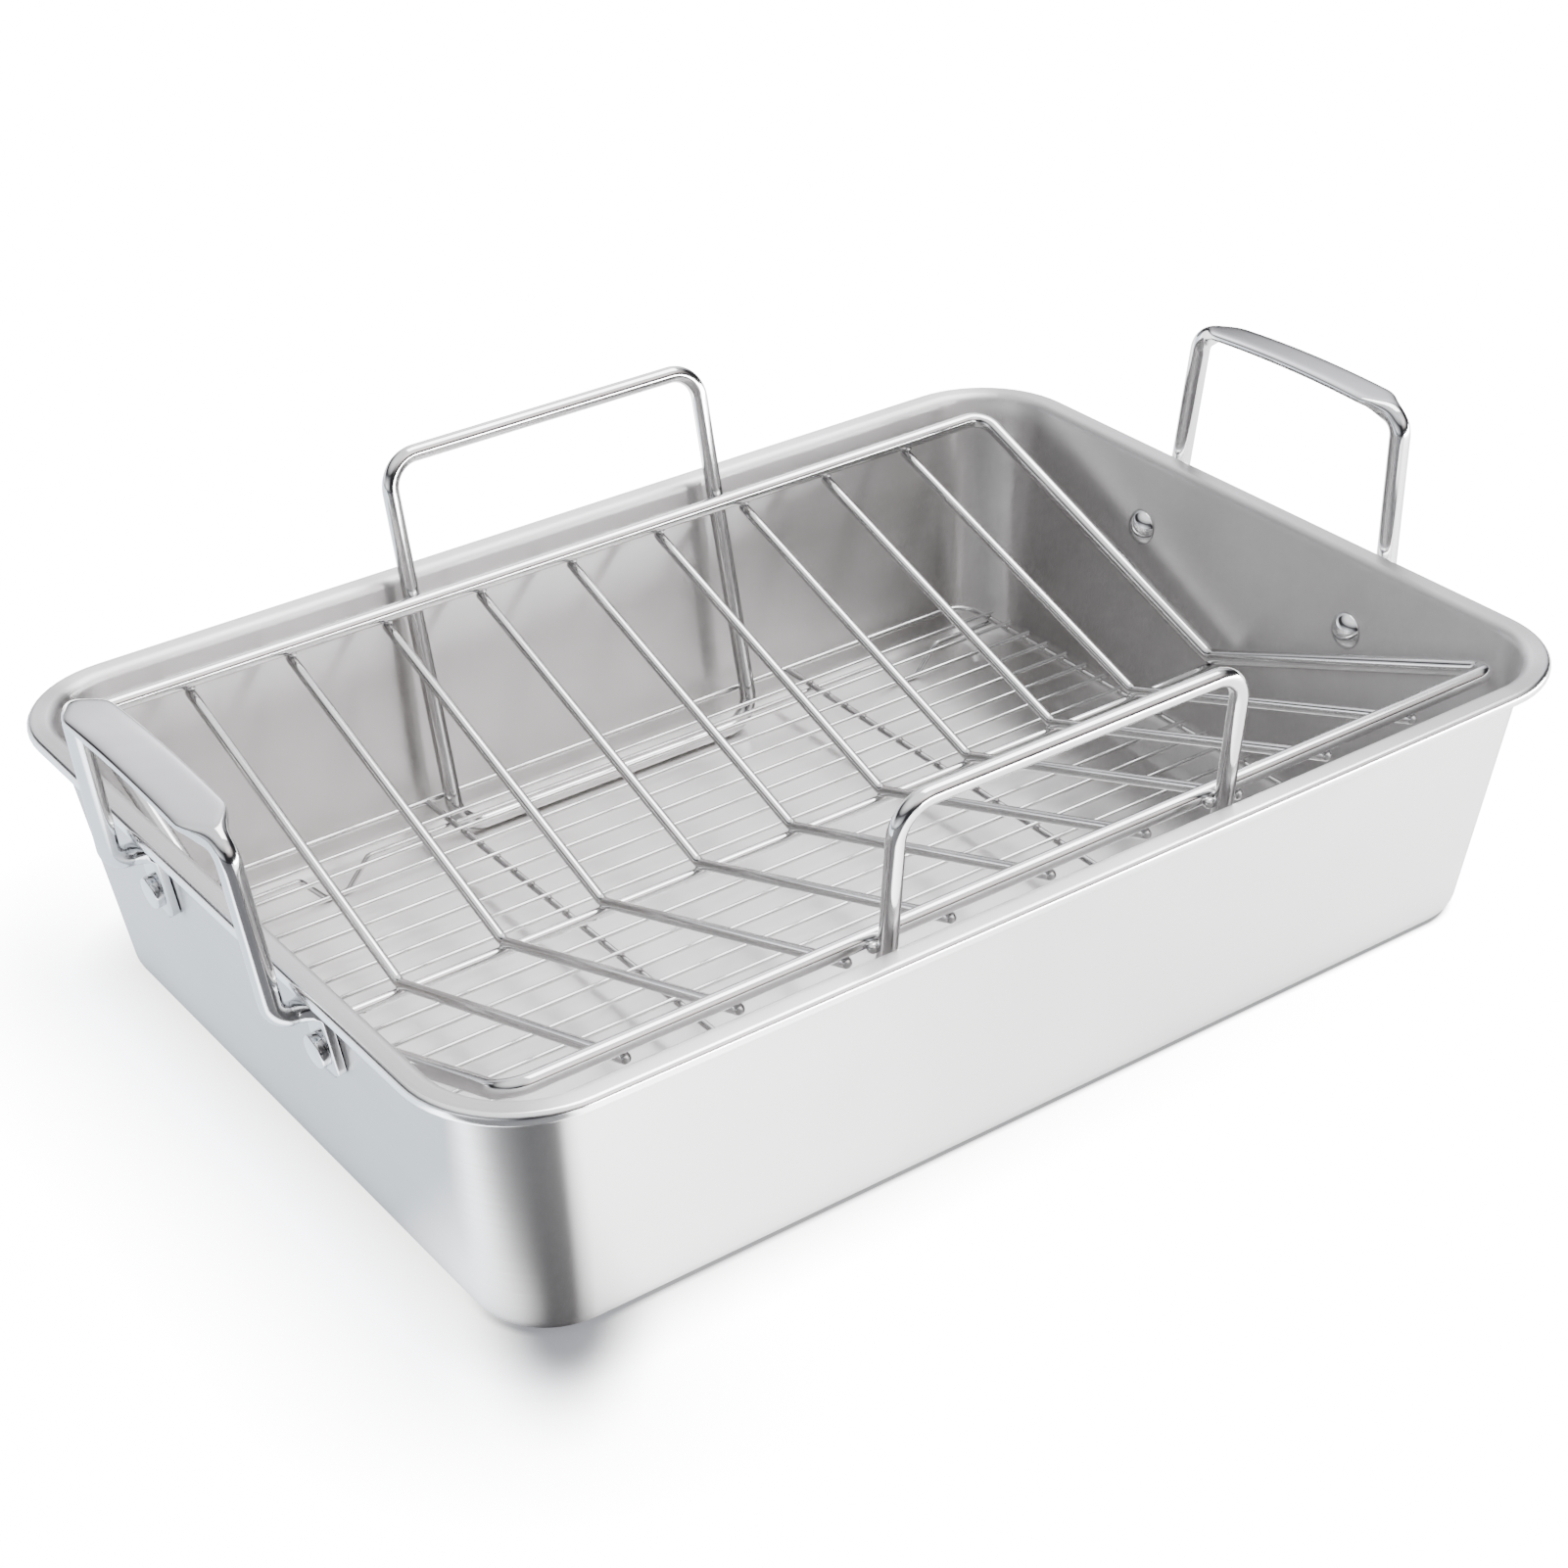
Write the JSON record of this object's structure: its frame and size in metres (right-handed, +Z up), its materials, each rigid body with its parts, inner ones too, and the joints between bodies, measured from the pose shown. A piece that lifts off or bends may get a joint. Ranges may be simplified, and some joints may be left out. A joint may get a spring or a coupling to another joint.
{
  "type": "roasting pan with rack",
  "caption": "Rectangular stainless-steel roasting pan with riveted loop handles, a low flat wire rack and a lift-out V-shaped wire rack.",
  "frame": {"origin": "middle of the pan's underside, where it stands", "axes": "+X along the pan's long side towards one handle, +Y across the pan, +Z up"},
  "size_m": [0.4506, 0.298, 0.1428],
  "materials": {
    "pan_steel": "satin stainless steel",
    "handle_steel": "polished forged stainless steel",
    "rivet_steel": "mirror polished steel",
    "flat_rack_wire": "bright drawn wire",
    "v_rack_wire": "polished wire"
  },
  "bodies": {
    "pan": {"pan_body": "pan_steel", "left_handle": "handle_steel", "right_handle": "handle_steel", "handle_rivets": "rivet_steel"},
    "flat_rack": {"flat_edge": "flat_rack_wire", "flat_cross_left": "flat_rack_wire", "flat_cross_right": "flat_rack_wire", "flat_foot_near": "flat_rack_wire", "flat_foot_far": "flat_rack_wire", "flat_wire_01": "flat_rack_wire", "flat_wire_02": "flat_rack_wire", "flat_wire_03": "flat_rack_wire", "flat_wire_04": "flat_rack_wire", "flat_wire_05": "flat_rack_wire", "flat_wire_06": "flat_rack_wire", "flat_wire_07": "flat_rack_wire", "flat_wire_08": "flat_rack_wire", "flat_wire_09": "flat_rack_wire", "flat_wire_10": "flat_rack_wire", "flat_wire_11": "flat_rack_wire", "flat_wire_12": "flat_rack_wire", "flat_wire_13": "flat_rack_wire", "flat_wire_14": "flat_rack_wire", "flat_wire_15": "flat_rack_wire", "flat_wire_16": "flat_rack_wire", "flat_wire_17": "flat_rack_wire", "flat_wire_18": "flat_rack_wire", "flat_wire_19": "flat_rack_wire", "flat_wire_20": "flat_rack_wire", "flat_wire_21": "flat_rack_wire"},
    "v_rack": {"rack_frame": "v_rack_wire", "rack_spine": "v_rack_wire", "rack_loop_near": "v_rack_wire", "rack_loop_far": "v_rack_wire", "rack_rib_1": "v_rack_wire", "rack_rib_2": "v_rack_wire", "rack_rib_3": "v_rack_wire", "rack_rib_4": "v_rack_wire", "rack_rib_5": "v_rack_wire", "rack_rib_6": "v_rack_wire", "rack_rib_7": "v_rack_wire", "rack_rib_8": "v_rack_wire", "rack_rib_9": "v_rack_wire"}
  },
  "joints": [
    {"name": "flat_rack_lift", "type": "slide", "parent": "pan", "child": "flat_rack", "axis": [0, 0, 1], "range_m": [0, 0.15]},
    {"name": "v_rack_lift", "type": "slide", "parent": "flat_rack", "child": "v_rack", "axis": [0, 0, 1], "range_m": [0, 0.15]}
  ]
}
